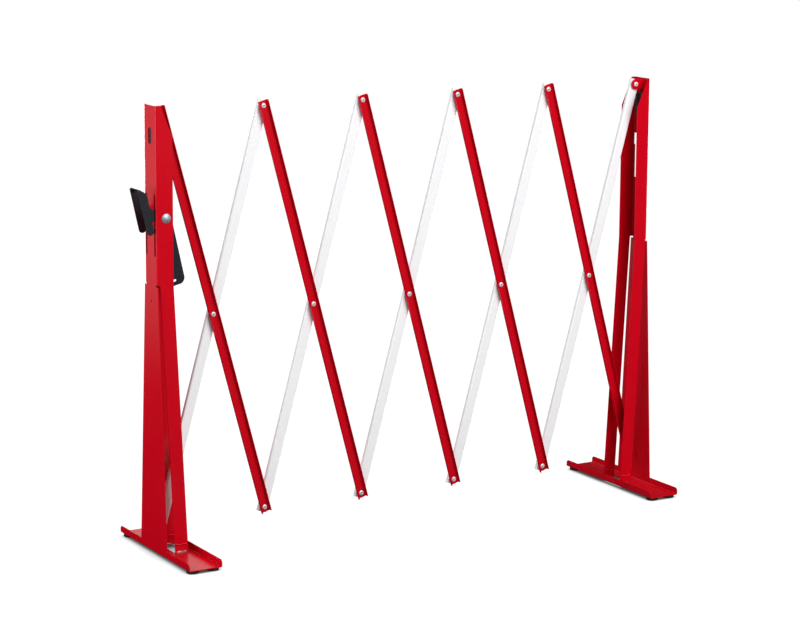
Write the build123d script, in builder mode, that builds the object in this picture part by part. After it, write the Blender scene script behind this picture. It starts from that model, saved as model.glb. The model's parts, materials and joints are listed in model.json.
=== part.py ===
"""Folding lattice barrier: two folded sheet-steel posts joined by a scissor lattice of red and white slats.

Millimetres, +Z up, +X along the barrier, front towards -Y. The origin lies on the floor under the middle
of the overall length, lever included. The lattice is drawn pulled out to the angle at which it stands.
"""
import os
from math import atan2, cos, radians, sin, tan

from build123d import *

# Overall
post_height = 1000.0  # floor to the top of the posts
pivot_below_top = 15.0  # top pivots below the post top
low_pivot_height = 73.0  # lowest pivots above the floor, as it stands
bays = 5  # crossings along the lattice
lean = 15.42  # angle of every slat from the vertical, degrees

# Slats, rolled channel
slat_width = 24.0
slat_depth = 9.0
slat_sheet = 1.5
slat_bend = 2.0  # inside radius of the channel's bends
slat_overhang = 11.5  # slat end beyond its end pivot

# Pivots
rivet_radius = 3.0
rivet_head_radius = 5.75
rivet_head_height = 2.2
rivet_dimple_radius = 2.0
rivet_dimple_depth = 1.4
rivet_tail_radius = 5.0
rivet_tail_height = 1.8
running_fit = 0.05  # radial clearance of a pin in its hole
open_fit = 0.15  # radial clearance at the lowest pivots, which close the linkage
end_play = 0.15  # clearance along a pin
washer_radius = 7.0
washer_thickness = 2.0

# Posts, one folded blank each
sheet = 2.0
bend = 2.0  # inside radius of the bends
web_width = 60.0
post_depth = 39.5  # web outside to the edge of the near flange, which faces the front on the left post
far_depth = 36.0  # the same on the far flange
near_flange_top = 12.3  # depth of the near flange at its very top
far_flange_top = 5.5
flange_slope = 67.0  # height over which the flange grows to its full depth
flange_corner = 2.0  # rounding of the flange corners
relief_height = 610.0  # where the flange ends and the leg takes over
relief_gap = 4.0
relief_inset = 6.0  # depth of the relief slit from the web's side
leg_width = 31.8
near_leg_setback = 7.7  # leg edge from the web outside at the relief
far_leg_setback = 4.0
near_leg_drift = 27.5  # how far the leg moves inwards on its way down
far_leg_drift = 32.0
leg_splay = 6.0  # how far the leg moves outwards to front or back
shoulder_width = 65.0  # web width just below the relief
web_foot_width = 132.0  # web width where it meets the foot
tab_slot_width = 22.0  # slot at the root of the leg's tab
tab_slot_height = 2.5

# Foot tray
foot_length = 356.0
foot_width = 80.0
lip_height = 16.5
lip_corner = 7.0
opening_near = 33.0  # base opening from the web outside, near edge
opening_far = 68.0
pad_radius = 14.0
pad_height = 7.0
pad_edge = 1.5
pad_margin = 2.0  # pad edge inside the foot's edge

# Ears and buffers
ear_radius = 12.2
ear_sheet = 3.0
buffer_width = 38.0
buffer_height = 62.0
buffer_thickness = 8.0
buffer_edge = 2.0
buffer_below_top = 66.0  # buffer centre below the post top
buffer_play = 1.0  # between the buffer and a folded slat
window_width = 16.0
window_height = 36.0
drain_radius = 2.5
drain_below_relief = 38.0

# Hand lever, one folded piece of sheet, shapes given with the lever upright
lever_above_relief = 146.0  # lever pivot above the posts' reliefs
lever_tilt = 12.8  # how far the lever is pulled out, degrees
lever_sheet = 2.5
lever_bend = 3.5  # outside radius of the lever's bends and of its top corner
lever_play = 0.2  # clearance on either side of a lever plate
spacer_length = 5.6
spacer_radius = 8.0
grip_out = 46.6  # outer edge of the side plates from the pivot
grip_top = 80.6  # where the outer edge and the sloping top would meet
grip_foot = 20.0  # lower end of the straight outer edge below the pivot
horn_inner = 28.5  # inner edge of the side plates from the pivot
horn_shoulder = 63.4  # where the inner edge and the sloping top would meet
horn_round = 20.0
neck_top = 23.5
neck_round = 14.0
neck_under = 1.0
lobe_inner = 30.0
arm_front = 16.0  # arm edge on the lattice side of the pivot
arm_back = 18.0  # arm edge on the web side of the pivot
arm_length = 152.0
arm_corner = 14.0
arm_heel = 2.0
arm_hole_length = 12.0
arm_hole_height = 5.5
arm_hole_up = 11.0  # hole centre above the arm's end
lever_slot_play = 2.0  # web slot beside a lever plate
lever_slot_up = 52.0
lever_slot_down = 83.0

# Lever bolts
bolt_radius = 4.0
bolt_head_radius = 10.5
bolt_head_height = 4.6
nut_across = 13.0
nut_height = 5.5

# Keyhole slots in the right web
key_slot_mid = 21.95  # slots from the middle plane
key_slot_width = 6.4
key_slot_height = 108.0
key_entry_width = 12.3
key_entry_height = 28.0

# Lattice, worked out from the sizes above
pivot_height = post_height - pivot_below_top
lattice_drop = pivot_height - low_pivot_height
pitch = lattice_drop * tan(radians(lean))
slat_span = lattice_drop / cos(radians(lean))
mid_height = (pivot_height + low_pivot_height) / 2
layer = washer_thickness / 2 + end_play  # inner face of each slat layer from the middle plane
slat_face = layer + slat_sheet

# Lengthwise positions
pivot_inset = sheet + buffer_thickness + buffer_play + slat_width / 2
grip_angle = atan2(grip_out - horn_inner, grip_top - horn_shoulder)  # between outer edge and sloping top
grip_run = lever_bend / tan(grip_angle / 2)  # length taken up by the rounded top corner
horn_run = horn_round * tan(grip_angle / 2)
corner_reach = (grip_out - lever_bend) * cos(radians(lever_tilt)) + (grip_top - grip_run) * sin(radians(lever_tilt))
lever_reach = corner_reach + lever_bend - pivot_inset
left_pivot = (lever_reach - bays * pitch) / 2
right_pivot = left_pivot + bays * pitch
middle = (left_pivot + right_pivot) / 2
web_out = left_pivot - pivot_inset
web_in = web_out + sheet

# Heights and half widths of the posts
base_under = pad_height
base_top = base_under + sheet
lip_top = base_under + lip_height
web_half = web_width / 2
flange_in = web_half - sheet
leg_run = relief_height - base_under
lever_height = relief_height + lever_above_relief
key_slot_top = lever_height + key_slot_height
lever_half = flange_in - spacer_length - lever_play
plate_mid = lever_half - lever_sheet / 2
lever_slot_width = lever_sheet + 2 * lever_slot_play


def rivet(front, back):
    """Rivet along Y with its dimpled head in front of one face and its formed tail behind another."""
    with BuildPart() as pin:
        with BuildSketch(Plane.XY):
            with BuildLine():
                TangentArc((0, front - rivet_head_height), (rivet_head_radius, front), tangent=(1, 0))
                Polyline(
                    (rivet_head_radius, front),
                    (rivet_radius, front),
                    (rivet_radius, back),
                    (rivet_tail_radius, back),
                    (rivet_tail_radius, back + 0.4 * rivet_tail_height),
                )
                TangentArc(
                    (0, back + rivet_tail_height),
                    (rivet_tail_radius, back + 0.4 * rivet_tail_height),
                    tangent=(1, 0),
                )
                Line((0, back + rivet_tail_height), (0, front - rivet_head_height))
            make_face()
        revolve(axis=Axis.Y)
        with BuildSketch(Plane.XZ.offset(rivet_head_height - front)):
            Circle(rivet_dimple_radius)
        extrude(amount=-rivet_dimple_depth, mode=Mode.SUBTRACT)
    return pin.part


def washer(red_side):
    """Washer between the layers, lying against the red layer or against the white one."""
    start = layer if red_side else washer_thickness - layer
    with BuildPart() as ring:
        with BuildSketch(Plane.XZ.offset(start)):
            Circle(washer_radius)
            Circle(rivet_radius + running_fit, mode=Mode.SUBTRACT)
        extrude(amount=-washer_thickness)
    return ring.part


def slat(low_fit):
    """Upright red slat with its middle pivot at the origin, channel open to the front."""
    half = slat_span / 2 + slat_overhang
    with BuildPart() as channel:
        with BuildSketch(Plane.XY.offset(-half)):
            with BuildLine():
                FilletPolyline(
                    (-slat_width / 2, -layer - slat_depth),
                    (-slat_width / 2, -layer),
                    (slat_width / 2, -layer),
                    (slat_width / 2, -layer - slat_depth),
                    radius=slat_bend + slat_sheet,
                )
                Line((slat_width / 2, -layer - slat_depth), (slat_width / 2 - slat_sheet, -layer - slat_depth))
                FilletPolyline(
                    (slat_width / 2 - slat_sheet, -layer - slat_depth),
                    (slat_width / 2 - slat_sheet, -slat_face),
                    (slat_sheet - slat_width / 2, -slat_face),
                    (slat_sheet - slat_width / 2, -layer - slat_depth),
                    radius=slat_bend,
                )
                Line((slat_sheet - slat_width / 2, -layer - slat_depth), (-slat_width / 2, -layer - slat_depth))
            make_face()
        extrude(amount=2 * half)
        with BuildSketch(Plane.XZ):
            with Locations((0, 0), (0, slat_span / 2)):
                Circle(rivet_radius + running_fit)
            with Locations((0, -slat_span / 2)):
                Circle(rivet_radius + low_fit)
        extrude(amount=slat_face + 1, mode=Mode.SUBTRACT)
    return channel.part


# Post blank at the left end: upper channel, lower web, tray, legs
with BuildPart() as post_blank:
    with BuildSketch(Plane.XY.offset(relief_height)):
        with BuildLine():
            FilletPolyline(
                (web_out + post_depth, -web_half),
                (web_out, -web_half),
                (web_out, web_half),
                (web_out + far_depth, web_half),
                radius=bend + sheet,
            )
            Line((web_out + far_depth, web_half), (web_out + far_depth, flange_in))
            FilletPolyline(
                (web_out + far_depth, flange_in),
                (web_in, flange_in),
                (web_in, -flange_in),
                (web_out + post_depth, -flange_in),
                radius=bend,
            )
            Line((web_out + post_depth, -flange_in), (web_out + post_depth, -web_half))
        make_face()
    extrude(amount=post_height - relief_height)

    # Flange tops slope back to the web
    for side, flange_top, depth in ((1, near_flange_top, post_depth), (-1, far_flange_top, far_depth)):
        with BuildSketch(Plane.XZ):
            with BuildLine():
                Polyline(
                    (web_out + flange_top, post_height + 1),
                    (web_out + flange_top, post_height),
                    (web_out + depth, post_height - flange_slope),
                    (web_out + depth + 1, post_height - flange_slope),
                    (web_out + depth + 1, post_height + 1),
                    close=True,
                )
            make_face()
        extrude(amount=side * (web_half + 1), mode=Mode.SUBTRACT)
    tips = post_blank.edges().filter_by(Axis.Y)
    tips = [edge for edge in tips if edge.length < 1.5 * sheet and edge.center().Z > post_height - flange_slope - 1]
    fillet(tips, flange_corner)

    # Foot tray with both lips
    with BuildSketch(Plane.XZ):
        with BuildLine():
            FilletPolyline(
                (web_out, lip_top),
                (web_out, base_under),
                (web_out + foot_width, base_under),
                (web_out + foot_width, lip_top),
                radius=bend + sheet,
            )
            Line((web_out + foot_width, lip_top), (web_out + foot_width - sheet, lip_top))
            FilletPolyline(
                (web_out + foot_width - sheet, lip_top),
                (web_out + foot_width - sheet, base_top),
                (web_in, base_top),
                (web_in, lip_top),
                radius=bend,
            )
            Line((web_in, lip_top), (web_out, lip_top))
        make_face()
    extrude(amount=foot_length / 2, both=True)
    lip_ends = post_blank.edges().filter_by(Axis.X).group_by(Axis.Z)
    lip_ends = [edge for group in lip_ends for edge in group if abs(edge.center().Z - lip_top) < 0.01]
    fillet(lip_ends, lip_corner)

    # Lower web runs down into the outer lip
    with BuildSketch(Plane.YZ.offset(web_out)):
        with BuildLine():
            Polyline(
                (relief_inset - web_half, relief_height + 1),
                (relief_inset - web_half, relief_height - relief_gap),
                (-shoulder_width / 2, relief_height - relief_gap),
                (-web_foot_width / 2, lip_top),
                (-web_foot_width / 2, lip_top - 1),
                (web_foot_width / 2, lip_top - 1),
                (web_foot_width / 2, lip_top),
                (shoulder_width / 2, relief_height - relief_gap),
                (web_half - relief_inset, relief_height - relief_gap),
                (web_half - relief_inset, relief_height + 1),
                close=True,
            )
        make_face()
    extrude(amount=sheet)

    # Opening in the base between the legs
    with BuildSketch(Plane.XY.offset(base_under - 1)):
        with Locations((web_out + (opening_near + opening_far) / 2, 0)):
            Rectangle(opening_far - opening_near, 2 * (flange_in + leg_splay))
    extrude(amount=sheet + 2, mode=Mode.SUBTRACT)

    # Legs lean inwards and splay to front and back, down onto tabs of the base
    for side, setback, drift in ((-1, near_leg_setback, near_leg_drift), (1, far_leg_setback, far_leg_drift)):
        with BuildSketch(Plane.XY.offset(relief_height)):
            with Locations((web_out + setback + leg_width / 2, side * (web_half - sheet / 2))):
                Rectangle(leg_width, sheet)
        run = Vector(drift, side * leg_splay, -leg_run)
        extrude(amount=run.length, dir=run)
        with BuildSketch(Plane.XZ):
            with Locations((web_out + setback + drift + leg_width / 2, base_top + tab_slot_height / 2)):
                Rectangle(tab_slot_width, tab_slot_height)
        extrude(amount=-side * (web_half + leg_splay + 1), mode=Mode.SUBTRACT)

# Left post: slots for the lever plates, window, drain hole, bolt holes
with BuildPart() as left_post:
    add(post_blank.part)
    with BuildSketch(Plane.YZ.offset(web_out - 1)):
        with Locations(*[(side * plate_mid, lever_height + (lever_slot_up - lever_slot_down) / 2) for side in (-1, 1)]):
            Rectangle(lever_slot_width, lever_slot_up + lever_slot_down)
        with Locations((0, post_height - buffer_below_top)):
            SlotOverall(window_height, window_width, rotation=90)
        with Locations((0, relief_height - drain_below_relief)):
            Circle(drain_radius)
    extrude(amount=sheet + 2, mode=Mode.SUBTRACT)
    with BuildSketch(Plane.XZ):
        with Locations((left_pivot, lever_height)):
            Circle(bolt_radius + running_fit)
    extrude(amount=web_half + 1, both=True, mode=Mode.SUBTRACT)
left_post.part.label = "left_post"

# Right post: the same blank turned half round, with keyhole slots instead
with BuildPart() as right_post:
    mirror(post_blank.part, about=Plane.YZ.offset(middle))
    mirror(right_post.part, about=Plane.XZ, mode=Mode.REPLACE)
    with BuildSketch(Plane.YZ.offset(right_pivot + pivot_inset - sheet - 1)):
        with Locations(*[(side * key_slot_mid, key_slot_top - key_slot_height / 2) for side in (-1, 1)]):
            Rectangle(key_slot_width, key_slot_height)
        with Locations(*[(side * key_slot_mid, key_slot_top - key_entry_height / 2) for side in (-1, 1)]):
            Rectangle(key_entry_width, key_entry_height)
    extrude(amount=sheet + 2, mode=Mode.SUBTRACT)
right_post.part.label = "right_post"

# Ears: rounded plates on the inside of the webs, left in the white layer and right in the red layer
with BuildPart() as left_pivot_ear:
    with BuildSketch(Plane.XZ.offset(-layer)):
        with Locations((left_pivot, pivot_height)):
            Circle(ear_radius)
        with Locations(((web_in + left_pivot) / 2, pivot_height)):
            Rectangle(left_pivot - web_in, 2 * ear_radius)
        with Locations((left_pivot, pivot_height)):
            Circle(rivet_radius + running_fit, mode=Mode.SUBTRACT)
    extrude(amount=-ear_sheet)
left_pivot_ear.part.label = "left_pivot_ear"

with BuildPart() as right_pivot_ear:
    mirror(left_pivot_ear.part, about=Plane.YZ.offset(middle))
    mirror(right_pivot_ear.part, about=Plane.XZ, mode=Mode.REPLACE)
right_pivot_ear.part.label = "right_pivot_ear"

# Buffers: rubber pads on the inside of the webs
with BuildPart() as left_buffer:
    with BuildSketch(Plane.YZ.offset(web_in)):
        with Locations((0, post_height - buffer_below_top)):
            SlotOverall(buffer_height, buffer_width, rotation=90)
    extrude(amount=buffer_thickness)
    fillet(left_buffer.edges().group_by(Axis.X)[-1], buffer_edge)
left_buffer.part.label = "left_buffer"

with BuildPart() as right_buffer:
    mirror(left_buffer.part, about=Plane.YZ.offset(middle))
right_buffer.part.label = "right_buffer"

# Rubber feet under the corners of both trays
foot_pads = []
pad_near = web_out + pad_radius + pad_margin
pad_far = web_out + foot_width - pad_radius - pad_margin
pad_row = foot_length / 2 - pad_radius - pad_margin
left_spots = [(pad_near, -pad_row), (pad_far, -pad_row), (pad_near, pad_row), (pad_far, pad_row)]
for post_name, spots in (
    ("left", left_spots),
    ("right", [(2 * middle - x, y) for x, y in left_spots]),
):
    for number, spot in enumerate(spots, 1):
        with BuildPart() as foot_pad:
            with BuildSketch(Plane.XY):
                with Locations(spot):
                    Circle(pad_radius)
            extrude(amount=pad_height)
            fillet(foot_pad.edges().group_by(Axis.Z)[0], pad_edge)
        foot_pad.part.label = f"{post_name}_foot_pad_{number}"
        foot_pads.append(foot_pad.part)

# Lattice: red slats fall to the right in front, white slats rise to the right behind
slats = []
pins = []
red_blank = slat(running_fit)
white_blank = mirror(slat(open_fit), about=Plane.XZ)
lattice_rivet = rivet(-slat_face, slat_face + end_play)
lattice_washer = washer(True)
for number in range(bays):
    center = (left_pivot + (number + 0.5) * pitch, 0, mid_height)
    with BuildPart() as red_slat:
        with Locations(center):
            add(red_blank, rotation=(0, -lean, 0))
    red_slat.part.label = f"red_slat_{number + 1}"
    slats.append(red_slat.part)

    with BuildPart() as white_slat:
        with Locations(center):
            add(white_blank, rotation=(0, lean, 0))
    white_slat.part.label = f"white_slat_{number + 1}"
    slats.append(white_slat.part)

    # Pivots carried by this red slat: top, middle and bottom, where it meets a white one
    pivots = [center]
    if number > 0:
        pivots.append((left_pivot + number * pitch, 0, pivot_height))
    if number < bays - 1:
        pivots.append((left_pivot + (number + 1) * pitch, 0, low_pivot_height))
    with BuildPart() as rivets:
        with Locations(*pivots):
            add(lattice_rivet)
    rivets.part.label = f"red_slat_{number + 1}_rivets"
    pins.append(rivets.part)
    with BuildPart() as washers:
        with Locations(*pivots):
            add(lattice_washer)
    washers.part.label = f"red_slat_{number + 1}_washers"
    pins.append(washers.part)

# End pivots: the first red slat and the last white slat hang in the ears
left_rivet = rivet(-slat_face - end_play, layer + ear_sheet)
with BuildPart() as left_pivot_rivet:
    with Locations((left_pivot, 0, pivot_height)):
        add(left_rivet)
left_pivot_rivet.part.label = "left_pivot_rivet"

right_rivet = rivet(-layer - ear_sheet, slat_face + end_play)
with BuildPart() as right_pivot_rivet:
    with Locations((right_pivot, 0, pivot_height)):
        add(right_rivet)
right_pivot_rivet.part.label = "right_pivot_rivet"

left_washer = washer(False)
with BuildPart() as left_pivot_washer:
    with Locations((left_pivot, 0, pivot_height)):
        add(left_washer)
left_pivot_washer.part.label = "left_pivot_washer"

with BuildPart() as right_pivot_washer:
    with Locations((right_pivot, 0, pivot_height)):
        add(lattice_washer)
right_pivot_washer.part.label = "right_pivot_washer"

# Hand lever, drawn upright about its pivot: side plates first
top_slope = ((-grip_out - horn_inner) / 2, (grip_top + horn_shoulder) / 2)
inner_edge = (-horn_inner, (horn_shoulder + neck_top) / 2)
with BuildPart() as upright_lever:
    with BuildSketch(Plane.XZ.offset(lever_half)):
        with BuildLine():
            FilletPolyline((-grip_out, -grip_foot), (-grip_out, grip_top), top_slope, radius=lever_bend)
            FilletPolyline(top_slope, (-horn_inner, horn_shoulder), inner_edge, radius=horn_round)
            FilletPolyline(
                inner_edge,
                (-horn_inner, neck_top),
                (arm_front, neck_top),
                (arm_front, 0),
                radius=neck_round,
            )
            FilletPolyline((arm_front, 0), (arm_front, -arm_length), (0, -arm_length), radius=arm_corner)
            FilletPolyline(
                (0, -arm_length),
                (-arm_back, -arm_length),
                (-arm_back, -neck_under),
                (-lobe_inner, -neck_under),
                radius=arm_heel,
            )
            Line((-lobe_inner, -neck_under), (-lobe_inner, -grip_foot))
            ThreePointArc(
                (-lobe_inner, -grip_foot),
                (-(grip_out + lobe_inner) / 2, -grip_foot - (grip_out - lobe_inner) / 2),
                (-grip_out, -grip_foot),
            )
        make_face()
        Circle(bolt_radius + running_fit, mode=Mode.SUBTRACT)
        with Locations((-arm_back + (arm_front + arm_back) / 2 - arm_back / 2, arm_hole_up - arm_length)):
            SlotOverall(arm_hole_length, arm_hole_height, mode=Mode.SUBTRACT)
    extrude(amount=-lever_sheet)
    mirror(about=Plane.XZ)

    # Bridge along the sloping top, from plate to plate
    slope = Plane(
        origin=(grip_run * sin(grip_angle) - grip_out, 0, grip_top - grip_run * cos(grip_angle)),
        x_dir=(0, 1, 0),
        z_dir=(sin(grip_angle), 0, -cos(grip_angle)),
    )
    bridge_length = (grip_out - horn_inner) / sin(grip_angle) - grip_run - horn_run
    with BuildSketch(slope):
        with Locations((0, -lever_sheet / 2)):
            Rectangle(2 * lever_half, lever_sheet)
    extrude(amount=bridge_length)

    # Rounded bends between bridge and side plates
    with BuildSketch(slope):
        with Locations(*[(side * (lever_half - lever_bend / 2), -lever_bend / 2) for side in (-1, 1)]):
            Rectangle(lever_bend, lever_bend)
        with Locations(*[(side * (lever_half - lever_bend), -lever_bend) for side in (-1, 1)]):
            Circle(lever_bend, mode=Mode.SUBTRACT)
    extrude(amount=bridge_length, mode=Mode.SUBTRACT)

with BuildPart() as lever:
    with Locations((left_pivot, 0, lever_height)):
        add(upright_lever.part, rotation=(0, -lever_tilt, 0))
lever.part.label = "lever"

# Lever bolts, spacers and nuts: front ones drawn, back ones mirrored
nut_start = lever_half - lever_sheet - lever_play
with BuildPart() as lever_bolts:
    with BuildSketch(Plane.XY):
        with BuildLine():
            TangentArc(
                (0, -web_half - bolt_head_height),
                (bolt_head_radius, -web_half - 0.15 * bolt_head_height),
                tangent=(1, 0),
            )
            Polyline(
                (bolt_head_radius, -web_half - 0.15 * bolt_head_height),
                (bolt_head_radius, -web_half),
                (bolt_radius, -web_half),
                (bolt_radius, nut_height - nut_start),
                (0, nut_height - nut_start),
                (0, -web_half - bolt_head_height),
            )
        make_face()
    revolve(axis=Axis.Y)

with BuildPart() as lever_spacers:
    with BuildSketch(Plane.XZ.offset(flange_in)):
        Circle(spacer_radius)
        Circle(bolt_radius + running_fit, mode=Mode.SUBTRACT)
    extrude(amount=-spacer_length)

with BuildPart() as lever_nuts:
    with BuildSketch(Plane.XZ.offset(nut_start)):
        RegularPolygon(nut_across / 2, 6, major_radius=False)
        Circle(bolt_radius + running_fit, mode=Mode.SUBTRACT)
    extrude(amount=-nut_height)

bolt_sets = []
for label, front_piece in (
    ("lever_bolts", lever_bolts.part),
    ("lever_spacers", lever_spacers.part),
    ("lever_nuts", lever_nuts.part),
):
    with BuildPart() as pair:
        with Locations((left_pivot, 0, lever_height)):
            add(front_piece)
        mirror(about=Plane.XZ)
    pair.part.label = label
    bolt_sets.append(pair.part)

# One file per piece
os.makedirs("parts", exist_ok=True)
pieces = [
    left_post.part,
    right_post.part,
    left_pivot_ear.part,
    right_pivot_ear.part,
    left_buffer.part,
    right_buffer.part,
    left_pivot_rivet.part,
    right_pivot_rivet.part,
    left_pivot_washer.part,
    right_pivot_washer.part,
    lever.part,
]
for piece in pieces + foot_pads + slats + pins + bolt_sets:
    export_step(piece, f"parts/{piece.label}.step")
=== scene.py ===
import json
from math import pi, radians

import bmesh
import bpy
from mathutils import Matrix, Vector

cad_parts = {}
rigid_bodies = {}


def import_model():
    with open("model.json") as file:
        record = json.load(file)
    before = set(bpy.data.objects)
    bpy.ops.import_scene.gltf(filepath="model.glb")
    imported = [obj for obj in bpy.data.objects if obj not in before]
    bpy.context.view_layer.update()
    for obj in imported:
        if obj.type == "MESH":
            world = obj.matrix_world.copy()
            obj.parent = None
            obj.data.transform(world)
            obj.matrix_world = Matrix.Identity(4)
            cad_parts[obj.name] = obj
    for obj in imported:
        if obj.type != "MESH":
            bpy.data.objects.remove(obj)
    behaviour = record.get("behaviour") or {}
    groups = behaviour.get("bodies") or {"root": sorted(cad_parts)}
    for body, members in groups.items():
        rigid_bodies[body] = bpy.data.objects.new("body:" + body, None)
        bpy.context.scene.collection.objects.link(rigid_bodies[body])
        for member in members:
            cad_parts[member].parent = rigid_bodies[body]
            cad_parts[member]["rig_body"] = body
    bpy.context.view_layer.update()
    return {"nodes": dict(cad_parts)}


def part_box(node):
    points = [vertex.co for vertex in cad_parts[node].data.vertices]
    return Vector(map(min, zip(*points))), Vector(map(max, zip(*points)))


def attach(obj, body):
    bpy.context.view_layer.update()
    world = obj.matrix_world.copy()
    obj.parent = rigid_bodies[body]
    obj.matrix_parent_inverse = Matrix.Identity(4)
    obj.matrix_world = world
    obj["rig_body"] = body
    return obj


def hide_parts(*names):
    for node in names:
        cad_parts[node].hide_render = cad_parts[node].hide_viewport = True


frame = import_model()
nodes = frame["nodes"]

# End posts: each is one blank of 2 mm sheet steel, cut, folded into web, flanges, legs and tray, and welded.
# They are coated after welding, so the red powder coat runs over every cut edge and rounds it a little.
mm = 0.001
coat_rounding = 0.45 * mm
# Real orange peel is about 2 mm across. It is drawn 2.6 mm across, so that it shows in the render.
peel_width = 2.6 * mm
peel_depth = 0.3 * mm
flow_width = 120 * mm
# Points this close are one point, and faces this flat are one face, of a folded sheet.
same_point = 0.005 * mm
same_face = radians(0.5)
# Bends up to the first angle are shaded round, and edges past the second one are cut edges.
round_bend = radians(35)
cut_edge = radians(40)


def linear(colour):
    """Linear RGBA of an sRGB hex colour."""
    values = [int(colour[i : i + 2], 16) / 255 for i in (1, 3, 5)]
    return [v / 12.92 if v <= 0.04045 else ((v + 0.055) / 1.055) ** 2.4 for v in values] + [1.0]


def add_node(tree, kind, inputs=None, **settings):
    """Adds a node with its settings, and fills or links its inputs."""
    node = tree.nodes.new(kind)
    for name, value in settings.items():
        setattr(node, name, value)
    for name, value in (inputs or {}).items():
        if isinstance(value, bpy.types.NodeSocket):
            tree.links.new(value, node.inputs[name])
        else:
            node.inputs[name].default_value = value
    return node


def powder_coat(name, full, hollow_shade_colour, rough, relief):
    """Baked powder coat: a semi-gloss plastic skin with fine orange peel, its hollows painted a touch darker
    as shade.
    """
    material = bpy.data.materials.new(name)
    material.use_nodes = True
    tree = material.node_tree
    tree.nodes.clear()
    place = add_node(tree, "ShaderNodeTexCoord").outputs["Object"]
    skin = add_node(tree, "ShaderNodeTexNoise", {"Vector": place, "Scale": 1 / peel_width, "Detail": 2.0})
    flow = add_node(tree, "ShaderNodeTexNoise", {"Vector": place, "Scale": 1 / flow_width, "Detail": 3.0})
    # Painted shade: the hollows of the peel's bump take the darker second colour.
    painted_hollow_shade = add_node(
        tree, "ShaderNodeMapRange", {"Value": skin.outputs["Fac"], "From Min": 0.36, "From Max": 0.66}
    )
    colour = add_node(
        tree,
        "ShaderNodeMix",
        {"Factor": painted_hollow_shade.outputs["Result"], 6: linear(hollow_shade_colour), 7: linear(full)},
        data_type="RGBA",
    )
    gloss = add_node(
        tree,
        "ShaderNodeMapRange",
        {
            "Value": flow.outputs["Fac"],
            "From Min": 0.3,
            "From Max": 0.7,
            "To Min": rough - 0.02,
            "To Max": rough + 0.02,
        },
    )
    bump = add_node(
        tree, "ShaderNodeBump", {"Height": skin.outputs["Fac"], "Strength": relief, "Distance": peel_depth}
    )
    shader = add_node(
        tree,
        "ShaderNodeBsdfPrincipled",
        {
            "Base Color": colour.outputs[2],
            "Roughness": gloss.outputs["Result"],
            "IOR": 1.45,
            "Specular IOR Level": 0.3,
            "Normal": bump.outputs["Normal"],
        },
    )
    add_node(tree, "ShaderNodeOutputMaterial", {"Surface": shader.outputs["BSDF"]})
    return material


def coated(node, material):
    """Copy of a folded sheet solid with its cut edges rounded by the coat, standing for that solid."""
    shape = bmesh.new()
    shape.from_mesh(nodes[node].data)
    bmesh.ops.remove_doubles(shape, verts=shape.verts, dist=same_point)
    bmesh.ops.dissolve_limit(shape, angle_limit=same_face, verts=shape.verts, edges=shape.edges)
    mesh = bpy.data.meshes.new(node + "_coated")
    shape.to_mesh(mesh)
    shape.free()
    for face in mesh.polygons:
        face.use_smooth = True
    mesh.set_sharp_from_angle(angle=round_bend)
    mesh.materials.clear()
    mesh.materials.append(material)
    piece = bpy.data.objects.new(node + "_coated", mesh)
    bpy.context.scene.collection.objects.link(piece)
    edge = piece.modifiers.new("coated_edges", "BEVEL")
    edge.limit_method = "ANGLE"
    edge.angle_limit = cut_edge
    edge.width = coat_rounding
    edge.segments = 2
    flat = piece.modifiers.new("flat_faces", "WEIGHTED_NORMAL")
    flat.weight = 100
    flat.keep_sharp = True
    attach(piece, nodes[node]["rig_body"])
    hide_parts(node)


# Each coat's second colour is painted shade for the hollows of its orange peel.
red_coat = powder_coat("red_powder_coat", "#BC0016", "#B70014", 0.25, 0.12)
for node in ("left_post", "right_post"):
    coated(node, red_coat)

# Pivot ears: rounded plates of 3 mm steel, welded square onto the inside of each web before coating.
# They carry the coat of the posts.
for node in ("left_pivot_ear", "right_pivot_ear"):
    coated(node, red_coat)

# Weld beads: short hand-laid fillets where each leg meets the tab of its tray and each ear its web.
# Each is a row of overlapping ripples, coated over with the post.
bead_width = 3.4 * mm
ripple_pitch = 1.1 * mm
# The two runs of a leg's bead are shares of its width. The near leg's beads lie lower than the far leg's.
bead_runs = ((0.16, 0.42), (0.56, 0.9))
near_bead, far_bead = 26.5 * mm, 28.5 * mm
ear_bead_out = 0.3 * mm
leg_top = 610 * mm
# How far a leg's edge stands inside the web's face at its top, and how much further at its foot.
near_leg = (7.7 * mm, 27.5 * mm)
far_leg = (4 * mm, 32 * mm)
leg_splay = 6 * mm
leg_width = 31.8 * mm
leg_out = 30 * mm
post_sheet = 2 * mm
tray_under = 7 * mm
ear_half = 9 * mm


def new_tree(name, sizes):
    """Empty geometry tree with a named input for each size."""
    tree = bpy.data.node_groups.new(name, "GeometryNodeTree")
    tree.interface.new_socket("Geometry", in_out="INPUT", socket_type="NodeSocketGeometry")
    tree.interface.new_socket("Geometry", in_out="OUTPUT", socket_type="NodeSocketGeometry")
    for size, kind in sizes.items():
        tree.interface.new_socket(size, in_out="INPUT", socket_type=kind)
    return tree


def grown(name, tree, sizes, points, lines, body, replaced=()):
    """Runs a geometry tree on seed points and lines, and keeps its result as a plain piece on one body."""
    seed_mesh = bpy.data.meshes.new(name + "_seed")
    seed_mesh.from_pydata(points, lines, [])
    seed = bpy.data.objects.new(name + "_seed", seed_mesh)
    bpy.context.scene.collection.objects.link(seed)
    modifier = seed.modifiers.new(tree.name, "NODES")
    modifier.node_group = tree
    for socket in tree.interface.items_tree:
        if socket.in_out == "INPUT" and socket.name in sizes:
            modifier[socket.identifier] = sizes[socket.name]
    bpy.context.view_layer.update()
    depsgraph = bpy.context.evaluated_depsgraph_get()
    mesh = bpy.data.meshes.new_from_object(seed.evaluated_get(depsgraph))
    mesh.name = name
    seed.modifiers.remove(modifier)
    bpy.data.objects.remove(seed)
    piece = bpy.data.objects.new(name, mesh)
    bpy.context.scene.collection.objects.link(piece)
    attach(piece, body)
    if replaced:
        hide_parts(*replaced)


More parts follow.
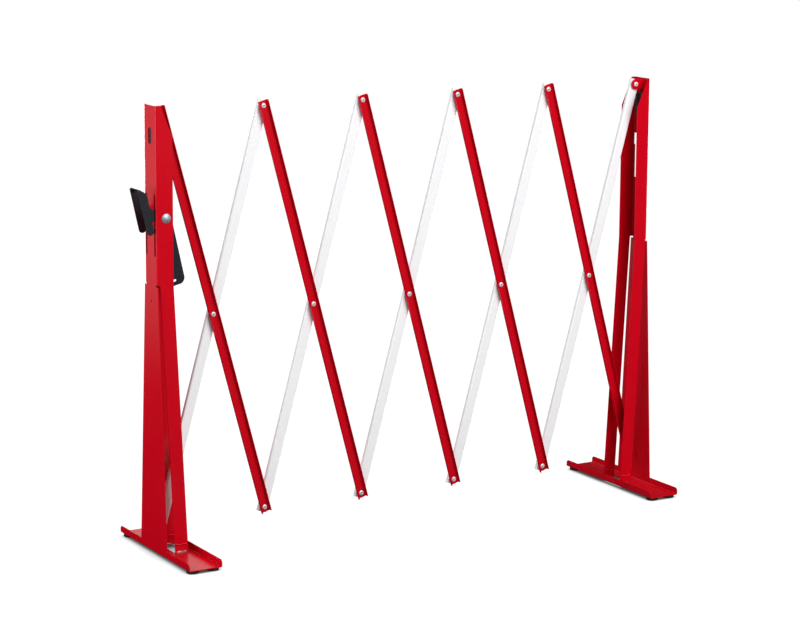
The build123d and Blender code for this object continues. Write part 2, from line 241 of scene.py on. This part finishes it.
bead_tree = new_tree("weld_bead", {"Bead Width": "NodeSocketFloat", "Ripple Pitch": "NodeSocketFloat"})
given = add_node(bead_tree, "NodeGroupInput")
path = add_node(bead_tree, "GeometryNodeMeshToCurve", {"Mesh": given.outputs["Geometry"]})
steps = add_node(
    bead_tree,
    "GeometryNodeResampleCurve",
    {"Curve": path.outputs["Curve"], "Length": given.outputs["Ripple Pitch"]},
    mode="LENGTH",
)
ripple = add_node(bead_tree, "GeometryNodeMeshUVSphere", {"Segments": 12, "Rings": 8, "Radius": 0.5})
swell = add_node(bead_tree, "FunctionNodeRandomValue", {2: 0.85, 3: 1.15, "Seed": 4}, data_type="FLOAT")
width = add_node(
    bead_tree, "ShaderNodeMath", {0: swell.outputs[1], 1: given.outputs["Bead Width"]}, operation="MULTIPLY"
)
laid = add_node(
    bead_tree,
    "GeometryNodeInstanceOnPoints",
    {"Points": steps.outputs["Curve"], "Instance": ripple.outputs["Mesh"], "Scale": width.outputs["Value"]},
)
solid = add_node(bead_tree, "GeometryNodeRealizeInstances", {"Geometry": laid.outputs["Instances"]})
painted = add_node(
    bead_tree, "GeometryNodeSetMaterial", {"Geometry": solid.outputs["Geometry"], "Material": red_coat}
)
add_node(bead_tree, "NodeGroupOutput", {"Geometry": painted.outputs["Geometry"]})

for side, inward, web in (
    ("left", 1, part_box("left_post")[0].x),
    ("right", -1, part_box("right_post")[1].x),
):
    points = []
    for front in (-1, 1):
        near = front * inward < 0
        setback, drift = near_leg if near else far_leg
        bead_height = near_bead if near else far_bead
        low_share = (leg_top - bead_height) / (leg_top - tray_under)
        leg_edge = web + inward * (setback + drift * low_share)
        for depth in (0, post_sheet):
            y = front * (leg_out + leg_splay * low_share - depth)
            for start, end in bead_runs:
                points.append((leg_edge + inward * start * leg_width, y, bead_height))
                points.append((leg_edge + inward * end * leg_width, y, bead_height))
    low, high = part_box(side + "_pivot_ear")
    foot = low.x if inward > 0 else high.x
    for y in (low.y, high.y):
        for z in (-ear_half, ear_half):
            points.append((foot + inward * ear_bead_out, y, (low.z + high.z) / 2 + z))
    lines = [(i, i + 1) for i in range(0, len(points), 2)]
    sizes = {"Bead Width": bead_width, "Ripple Pitch": ripple_pitch}
    grown(side + "_weld_beads", bead_tree, sizes, points, lines, side + "_post")

# Buffers and feet: moulded black rubber, obround pads inside the webs and discs under the trays' corners.
# They are stuck on. The mould leaves a matt grain, and the rubber blooms in faint grey patches.
# The real grain is finer. It is drawn 1.6 mm across, so that it shows in the render.
grain_width = 1.6 * mm
grain_depth = 0.1 * mm
bloom_width = 14 * mm
rubber = bpy.data.materials.new("moulded_black_rubber")
rubber.use_nodes = True
tree = rubber.node_tree
tree.nodes.clear()
place = add_node(tree, "ShaderNodeTexCoord").outputs["Object"]
grain = add_node(tree, "ShaderNodeTexNoise", {"Vector": place, "Scale": 1 / grain_width, "Detail": 3.0})
bloom = add_node(tree, "ShaderNodeTexNoise", {"Vector": place, "Scale": 1 / bloom_width, "Detail": 2.0})
tone = add_node(
    tree,
    "ShaderNodeMix",
    {"Factor": bloom.outputs["Fac"], 6: linear("#0B0B0D"), 7: linear("#151518")},
    data_type="RGBA",
)
dull = add_node(
    tree, "ShaderNodeMapRange", {"Value": bloom.outputs["Fac"], "To Min": 0.5, "To Max": 0.75}
)
bump = add_node(
    tree, "ShaderNodeBump", {"Height": grain.outputs["Fac"], "Strength": 0.3, "Distance": grain_depth}
)
shader = add_node(
    tree,
    "ShaderNodeBsdfPrincipled",
    {
        "Base Color": tone.outputs[2],
        "Roughness": dull.outputs["Result"],
        "IOR": 1.52,
        "Normal": bump.outputs["Normal"],
    },
)
add_node(tree, "ShaderNodeOutputMaterial", {"Surface": shader.outputs["BSDF"]})
rubber_nodes = [side + "_buffer" for side in ("left", "right")]
rubber_nodes += [f"{side}_foot_pad_{number}" for side in ("left", "right") for number in range(1, 5)]
for node in rubber_nodes:
    nodes[node].data.materials.clear()
    nodes[node].data.materials.append(rubber)

# Slats: rolled channels of 1.5 mm steel, punched for the rivets, five red in front and five white behind.
# The layers lie back to back with the channels open outwards, and both colours are semi-gloss powder coat.
slat_numbers = range(1, 6)
# The second colour is painted shade in the peel's hollows.
white_coat = powder_coat("white_powder_coat", "#E3E3E5", "#DFDFE1", 0.26, 0.1)
for number in slat_numbers:
    coated(f"red_slat_{number}", red_coat)
    coated(f"white_slat_{number}", white_coat)

# Washers: white nylon rings between the two layers, moulded, faintly waxy.
# They keep the coats from rubbing where the slats cross.
wax_width = 5 * mm
nylon = bpy.data.materials.new("moulded_nylon")
nylon.use_nodes = True
tree = nylon.node_tree
tree.nodes.clear()
place = add_node(tree, "ShaderNodeTexCoord").outputs["Object"]
wax = add_node(tree, "ShaderNodeTexNoise", {"Vector": place, "Scale": 1 / wax_width, "Detail": 2.0})
tone = add_node(
    tree,
    "ShaderNodeMix",
    {"Factor": wax.outputs["Fac"], 6: linear("#DEDCD3"), 7: linear("#EFEDE6")},
    data_type="RGBA",
)
dull = add_node(tree, "ShaderNodeMapRange", {"Value": wax.outputs["Fac"], "To Min": 0.38, "To Max": 0.55})
shader = add_node(
    tree,
    "ShaderNodeBsdfPrincipled",
    {"Base Color": tone.outputs[2], "Roughness": dull.outputs["Result"], "IOR": 1.53},
)
add_node(tree, "ShaderNodeOutputMaterial", {"Surface": shader.outputs["BSDF"]})
washer_nodes = [f"red_slat_{number}_washers" for number in slat_numbers]
washer_nodes += ["left_pivot_washer", "right_pivot_washer"]
for node in washer_nodes:
    nodes[node].data.materials.clear()
    nodes[node].data.materials.append(nylon)

# Rivets: zinc-plated blind rivets through both layers, set from the front, which leaves a domed head with
# the broken pin sunk in its middle and a rounded bulge behind.
# The outline curves run from 0 to 1, which stands for this radius and this height in mm.
head_reach = 6.0
profile_reach = 2.5
# Radius and height of the turned outline in mm, from the pin's end over the head to the shank.
head_outline = [
    (0.0, 1.25),
    (1.2, 1.25),
    (1.4, 1.0),
    (1.65, 1.0),
    (1.75, 1.8),
    (2.1, 2.1),
    (2.7, 2.18),
    (3.6, 1.98),
    (4.5, 1.5),
    (5.25, 0.92),
    (5.65, 0.5),
    (5.75, 0.22),
    (5.6, 0.0),
    (3.0, 0.0),
]
# The same behind the slats, from the shank round the bulge to its end.
tail_outline = [(3.0, 0.0), (4.6, 0.08), (5.0, 0.6), (4.6, 1.25), (3.4, 1.65), (1.8, 1.78), (0.0, 1.8)]
outline = head_outline + tail_outline
# The first two steps of the outline are the pin's end.
pin_steps = 2.5
cloud_width = 3.5 * mm


def bright_zinc(name, light, dark, rough, metal):
    """Zinc plate on steel: a bluish metal under a cloudy film that dulls it and scatters some light."""
    material = bpy.data.materials.new(name)
    material.use_nodes = True
    tree = material.node_tree
    tree.nodes.clear()
    place = add_node(tree, "ShaderNodeTexCoord").outputs["Object"]
    cloud = add_node(tree, "ShaderNodeTexNoise", {"Vector": place, "Scale": 1 / cloud_width, "Detail": 4.0})
    tone = add_node(
        tree,
        "ShaderNodeMix",
        {"Factor": cloud.outputs["Fac"], 6: linear(dark), 7: linear(light)},
        data_type="RGBA",
    )
    polish = add_node(
        tree,
        "ShaderNodeMapRange",
        {
            "Value": cloud.outputs["Fac"],
            "From Min": 0.3,
            "From Max": 0.7,
            "To Min": rough - 0.06,
            "To Max": rough + 0.08,
        },
    )
    shader = add_node(
        tree,
        "ShaderNodeBsdfPrincipled",
        {"Base Color": tone.outputs[2], "Metallic": metal, "Roughness": polish.outputs["Result"]},
    )
    add_node(tree, "ShaderNodeOutputMaterial", {"Surface": shader.outputs["BSDF"]})
    return material


zinc = bright_zinc("bright_zinc_plate", "#DDE0E5", "#CACED5", 0.48, 0.4)
# The pin is real, but its near-black colour is partly painted shade of the hollow it is sunk in.
pin_and_painted_shade = bright_zinc("broken_pin_and_painted_shade", "#4A4C50", "#2C2D30", 0.5, 1.0)

# The turned seam closes within this reach, and edges past this angle stay crisp.
seam_reach = 0.001 * mm
crisp_angle = radians(50)
rivet_tree = new_tree(
    "blind_rivet",
    {
        "Front Face": "NodeSocketFloat",
        "Back Face": "NodeSocketFloat",
        "Head Radius": "NodeSocketFloat",
        "Head Height": "NodeSocketFloat",
        "Segments": "NodeSocketInt",
    },
)
given = add_node(rivet_tree, "NodeGroupInput")
columns = add_node(rivet_tree, "ShaderNodeMath", {0: given.outputs["Segments"], 1: 1.0}, operation="ADD")
sheet_grid = add_node(
    rivet_tree,
    "GeometryNodeMeshGrid",
    {"Size X": 1.0, "Size Y": 1.0, "Vertices X": columns.outputs["Value"], "Vertices Y": len(outline)},
)
spot = add_node(rivet_tree, "GeometryNodeInputPosition")
axes = add_node(rivet_tree, "ShaderNodeSeparateXYZ", {"Vector": spot.outputs["Position"]})
turn = add_node(rivet_tree, "ShaderNodeMath", {0: axes.outputs["X"], 1: 2 * pi}, operation="MULTIPLY")
along = add_node(rivet_tree, "ShaderNodeMath", {0: axes.outputs["Y"], 1: 0.5}, operation="ADD")
last_step = len(outline) - 1
# One curve gives the outline's radius at each of its steps, and the other its height.
radius_curve = add_node(rivet_tree, "ShaderNodeFloatCurve", {"Value": along.outputs["Value"]})
height_curve = add_node(rivet_tree, "ShaderNodeFloatCurve", {"Value": along.outputs["Value"]})
radius_shares = [radius / head_reach for radius, height in outline]
height_shares = [height / profile_reach for radius, height in outline]
for curve_node, shares in ((radius_curve, radius_shares), (height_curve, height_shares)):
    curve = curve_node.mapping.curves[0]
    curve.points[0].location = (0.0, shares[0])
    curve.points[1].location = (1.0, shares[-1])
    for step in range(1, last_step):
        curve.points.new(step / last_step, shares[step])
    for point in curve.points:
        point.handle_type = "VECTOR"
    curve_node.mapping.update()
radius = add_node(
    rivet_tree,
    "ShaderNodeMath",
    {0: radius_curve.outputs["Value"], 1: given.outputs["Head Radius"]},
    operation="MULTIPLY",
)
rise = add_node(
    rivet_tree,
    "ShaderNodeMath",
    {0: height_curve.outputs["Value"], 1: given.outputs["Head Height"]},
    operation="MULTIPLY",
)
behind = add_node(
    rivet_tree,
    "ShaderNodeMath",
    {0: along.outputs["Value"], 1: (len(head_outline) - 0.5) / last_step},
    operation="GREATER_THAN",
)
head_place = add_node(
    rivet_tree,
    "ShaderNodeMath",
    {0: given.outputs["Front Face"], 1: rise.outputs["Value"]},
    operation="SUBTRACT",
)
tail_place = add_node(
    rivet_tree, "ShaderNodeMath", {0: given.outputs["Back Face"], 1: rise.outputs["Value"]}, operation="ADD"
)
depth = add_node(
    rivet_tree,
    "ShaderNodeMix",
    {"Factor": behind.outputs["Value"], 2: head_place.outputs["Value"], 3: tail_place.outputs["Value"]},
    data_type="FLOAT",
)
cosine = add_node(rivet_tree, "ShaderNodeMath", {0: turn.outputs["Value"]}, operation="COSINE")
sine = add_node(rivet_tree, "ShaderNodeMath", {0: turn.outputs["Value"]}, operation="SINE")
turned_x = add_node(
    rivet_tree,
    "ShaderNodeMath",
    {0: radius.outputs["Value"], 1: cosine.outputs["Value"]},
    operation="MULTIPLY",
)
turned_z = add_node(
    rivet_tree,
    "ShaderNodeMath",
    {0: radius.outputs["Value"], 1: sine.outputs["Value"]},
    operation="MULTIPLY",
)
turned = add_node(
    rivet_tree,
    "ShaderNodeCombineXYZ",
    {"X": turned_x.outputs["Value"], "Y": depth.outputs[0], "Z": turned_z.outputs["Value"]},
)
pin_face = add_node(
    rivet_tree,
    "ShaderNodeMath",
    {0: along.outputs["Value"], 1: pin_steps / last_step},
    operation="LESS_THAN",
)
marked = add_node(
    rivet_tree,
    "GeometryNodeStoreNamedAttribute",
    {"Geometry": sheet_grid.outputs["Mesh"], "Name": "pin", "Value": pin_face.outputs["Value"]},
    data_type="BOOLEAN",
    domain="FACE",
)
lathe = add_node(
    rivet_tree,
    "GeometryNodeSetPosition",
    {"Geometry": marked.outputs["Geometry"], "Position": turned.outputs["Vector"]},
)
closed = add_node(
    rivet_tree,
    "GeometryNodeMergeByDistance",
    {"Geometry": lathe.outputs["Geometry"], "Distance": seam_reach},
)
bend_angle = add_node(rivet_tree, "GeometryNodeInputMeshEdgeAngle")
crisp = add_node(
    rivet_tree,
    "ShaderNodeMath",
    {0: bend_angle.outputs["Unsigned Angle"], 1: crisp_angle},
    operation="LESS_THAN",
)
shaded = add_node(
    rivet_tree,
    "GeometryNodeSetShadeSmooth",
    {"Geometry": closed.outputs["Geometry"], "Shade Smooth": crisp.outputs["Value"]},
    domain="EDGE",
)
set_rivets = add_node(
    rivet_tree,
    "GeometryNodeInstanceOnPoints",
    {"Points": given.outputs["Geometry"], "Instance": shaded.outputs["Geometry"]},
)
solid = add_node(rivet_tree, "GeometryNodeRealizeInstances", {"Geometry": set_rivets.outputs["Instances"]})
plated = add_node(
    rivet_tree, "GeometryNodeSetMaterial", {"Geometry": solid.outputs["Geometry"], "Material": zinc}
)
# Painted shade: the sunk pin and the sides of its hollow take the near-black pin material.
pin_mark = add_node(rivet_tree, "GeometryNodeInputNamedAttribute", {"Name": "pin"}, data_type="BOOLEAN")
pinned = add_node(
    rivet_tree,
    "GeometryNodeSetMaterial",
    {
        "Geometry": plated.outputs["Geometry"],
        "Selection": pin_mark.outputs["Attribute"],
        "Material": pin_and_painted_shade,
    },
)
add_node(rivet_tree, "NodeGroupOutput", {"Geometry": pinned.outputs["Geometry"]})


def middle(node):
    """Middle of a solid's box."""
    low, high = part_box(node)
    return (low + high) / 2


left_pivot = middle("left_pivot_rivet")
right_pivot = middle("right_pivot_rivet")
bay = (right_pivot.x - left_pivot.x) / len(slat_numbers)
rivet_head = 5.75 * mm
low_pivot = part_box("red_slat_1_rivets")[0].z + rivet_head
crossing = (left_pivot.z + low_pivot) / 2
# Outer faces of the slats and of the ears, from the middle plane.
slat_face = 2.65 * mm
ear_face = 4.15 * mm
rivet_play = 0.15 * mm
rivet_sizes = {"Head Radius": head_reach * mm, "Head Height": profile_reach * mm, "Segments": 32}
for number in slat_numbers:
    points = [(left_pivot.x + (number - 0.5) * bay, 0, crossing)]
    if number > 1:
        points.append((left_pivot.x + (number - 1) * bay, 0, left_pivot.z))
    if number < len(slat_numbers):
        points.append((left_pivot.x + number * bay, 0, low_pivot))
    sizes = dict(rivet_sizes, **{"Front Face": -slat_face, "Back Face": slat_face + rivet_play})
    name = f"red_slat_{number}"
    grown(name + "_set_rivets", rivet_tree, sizes, points, [], name, [name + "_rivets"])
for side, pivot, front, back in (
    ("left", left_pivot, -slat_face - rivet_play, ear_face),
    ("right", right_pivot, -ear_face, slat_face + rivet_play),
):
    sizes = dict(rivet_sizes, **{"Front Face": front, "Back Face": back})
    points = [(pivot.x, 0, pivot.z)]
    name = side + "_pivot_rivet"
    grown(name + "_set", rivet_tree, sizes, points, [], side + "_post", [name])

# Hand lever: one folded piece of 2.5 mm steel, two side plates joined by a bridge along their sloping tops.
# The plates reach through slots in the web to their bolts. The satin black coat has a fine dry grain.
# The second colour is painted shade in the peel's hollows.
black_coat = powder_coat("black_powder_coat", "#222429", "#191A1F", 0.42, 0.3)
coated("lever", black_coat)

# Lever bolts, spacers and nuts: zinc-plated steel, a cup-head bolt through each flange with a spacer tube
# and a lock nut inside. Their thicker plating is cloudier and duller than the rivets'.
dull_zinc = bright_zinc("dull_zinc_plate", "#BAC0C8", "#8E949D", 0.5, 0.65)
for node in ("lever_bolts", "lever_spacers", "lever_nuts"):
    nodes[node].data.materials.clear()
    nodes[node].data.materials.append(dull_zinc)

# Studio floor: a plain white sheet, which the camera sees lifted to white by a glow.
# The soft shadows under and around the feet are painted shadows: ambient occlusion dims that glow.
# Reflections see it dark in front and glowing brighter towards the back wall.
floor_half = 9.0
painted_contact_reach = 42 * mm
painted_shelter_reach = 400 * mm
floor_corners = [(x * floor_half, y * floor_half, 0) for x, y in ((-1, -1), (1, -1), (1, 1), (-1, 1))]
floor_mesh = bpy.data.meshes.new("studio_floor")
floor_mesh.from_pydata(floor_corners, [], [(0, 1, 2, 3)])
floor = bpy.data.objects.new("studio_floor", floor_mesh)
bpy.context.scene.collection.objects.link(floor)
paper = bpy.data.materials.new("studio_paper")
paper.use_nodes = True
tree = paper.node_tree
tree.nodes.clear()
ray = add_node(tree, "ShaderNodeLightPath")
place = add_node(tree, "ShaderNodeTexCoord").outputs["Object"]
# Painted shadow: occlusion within these reaches dims the camera's white glow near the feet and the posts.
cover = add_node(tree, "ShaderNodeAmbientOcclusion", {"Distance": painted_contact_reach}, samples=16)
painted_contact_shadow = add_node(
    tree,
    "ShaderNodeMapRange",
    {"Value": cover.outputs["AO"], "From Min": 0.28, "From Max": 0.72, "To Min": 0.24, "To Max": 1.0},
)
shelter = add_node(tree, "ShaderNodeAmbientOcclusion", {"Distance": painted_shelter_reach}, samples=16)
painted_shelter_shade = add_node(
    tree,
    "ShaderNodeMapRange",
    {"Value": shelter.outputs["AO"], "From Min": 0.15, "From Max": 0.6, "To Min": 0.05, "To Max": 1.0},
)
white_lift_with_painted_shadow = add_node(
    tree, "ShaderNodeMath", {0: painted_contact_shadow.outputs["Result"], 1: painted_shelter_shade.outputs["Result"]}, operation="MINIMUM"
)
matt = add_node(tree, "ShaderNodeBsdfDiffuse", {"Color": linear("#484848")})
glow = add_node(tree, "ShaderNodeEmission", {"Strength": white_lift_with_painted_shadow.outputs["Value"]})
seen = add_node(tree, "ShaderNodeAddShader", {0: matt.outputs["BSDF"], 1: glow.outputs["Emission"]})
axes = add_node(tree, "ShaderNodeSeparateXYZ", {"Vector": place})
distant = add_node(
    tree,
    "ShaderNodeMapRange",
    {"Value": axes.outputs["Y"], "From Min": 1.75, "From Max": 3.4, "To Min": 0.0, "To Max": 0.62},
)
mirrored = add_node(tree, "ShaderNodeEmission", {"Strength": distant.outputs["Result"]})
bounce = add_node(tree, "ShaderNodeBsdfDiffuse", {"Color": linear("#8C8C8C")})
unseen = add_node(
    tree,
    "ShaderNodeMixShader",
    {0: ray.outputs["Is Glossy Ray"], 1: bounce.outputs["BSDF"], 2: mirrored.outputs["Emission"]},
)
direct = add_node(
    tree,
    "ShaderNodeMath",
    {0: ray.outputs["Is Camera Ray"], 1: ray.outputs["Is Transmission Ray"]},
    operation="MAXIMUM",
)
sheet_look = add_node(
    tree,
    "ShaderNodeMixShader",
    {0: direct.outputs["Value"], 1: unseen.outputs["Shader"], 2: seen.outputs["Shader"]},
)
add_node(tree, "ShaderNodeOutputMaterial", {"Surface": sheet_look.outputs["Shader"]})
floor_mesh.materials.append(paper)

# Studio walls and lamps: white all round for the camera, dim walls and a bright ceiling for reflections,
# large lamps from the front and the left, two low ones that fill the back and the right side, and a weak card
# behind that shows as gloss on the left foot's tray. Each has its place, aim, width in metres and watts.
room_light = 0.19
world = bpy.data.worlds.new("studio")
bpy.context.scene.world = world
world.use_nodes = True
tree = world.node_tree
tree.nodes.clear()
ray = add_node(tree, "ShaderNodeLightPath")
way = add_node(tree, "ShaderNodeTexCoord").outputs["Generated"]
axes = add_node(tree, "ShaderNodeSeparateXYZ", {"Vector": way})
back_wall = add_node(
    tree,
    "ShaderNodeMapRange",
    {"Value": axes.outputs["Y"], "From Min": -0.3, "From Max": 0.6, "To Min": 0.01, "To Max": 0.02},
)
ceiling = add_node(
    tree,
    "ShaderNodeMapRange",
    {"Value": axes.outputs["Z"], "From Min": 0.45, "From Max": 0.75, "To Min": 0.0, "To Max": 0.9},
)
mirrored = add_node(
    tree,
    "ShaderNodeMath",
    {0: back_wall.outputs["Result"], 1: ceiling.outputs["Result"]},
    operation="MAXIMUM",
)
unseen = add_node(
    tree,
    "ShaderNodeMix",
    {"Factor": ray.outputs["Is Glossy Ray"], 2: room_light, 3: mirrored.outputs["Value"]},
    data_type="FLOAT",
)
direct = add_node(
    tree,
    "ShaderNodeMath",
    {0: ray.outputs["Is Camera Ray"], 1: ray.outputs["Is Transmission Ray"]},
    operation="MAXIMUM",
)
strength = add_node(
    tree,
    "ShaderNodeMix",
    {"Factor": direct.outputs["Value"], 2: unseen.outputs[0], 3: 1.0},
    data_type="FLOAT",
)
walls = add_node(tree, "ShaderNodeBackground", {"Color": linear("#FFFFFF"), "Strength": strength.outputs[0]})
add_node(tree, "ShaderNodeOutputWorld", {"Surface": walls.outputs["Background"]})

for name, place, target, size, power in (
    ("front_lamp", (0.5, -3.3, 2.8), (0, 0, 0.6), 3.4, 212),
    ("left_lamp", (-2.5, 0.3, 1.35), (-0.5, 0, 0.6), 2.4, 57),
    ("back_lamp", (0.1, 4.5, 0.9), (0, 0, 0.5), 1.6, 150),
    ("right_lamp", (4.2, 1.0, 0.6), (0.6, 0, 0.5), 1.6, 90),
    ("back_card", (1.7, 4.5, 1.58), (-0.6, -0.15, 0), 1.6, 6),
):
    lamp = bpy.data.lights.new(name, "AREA")
    lamp.shape = "DISK"
    lamp.size = size
    lamp.energy = power
    stand = bpy.data.objects.new(name, lamp)
    stand.visible_camera = False
    bpy.context.scene.collection.objects.link(stand)
    stand.location = place
    aim = Vector(target) - Vector(place)
    stand.rotation_euler = aim.to_track_quat("-Z", "Y").to_euler()

# Camera: stands a little left of the barrier's front, above its top, with a long lens.
# The lens and shift are set for a frame of 800 by 629.
camera_place = (-2.9085, -4.9054, 1.6055)
view_turn = radians(-30.62)
view_pitch = radians(80.31)
view_roll = radians(0.38)
camera_data = bpy.data.cameras.new("photo_camera")
camera_data.sensor_width = 36.0
camera_data.sensor_fit = "HORIZONTAL"
camera_data.lens = 113.34
camera_data.shift_y = -0.0798
camera = bpy.data.objects.new("photo_camera", camera_data)
bpy.context.scene.collection.objects.link(camera)
turned_view = (
    Matrix.Rotation(view_turn, 4, "Z")
    @ Matrix.Rotation(view_pitch, 4, "X")
    @ Matrix.Rotation(view_roll, 4, "Z")
)
camera.matrix_world = Matrix.Translation(camera_place) @ turned_view
bpy.context.scene.camera = camera
bpy.context.scene.view_settings.view_transform = "Standard"
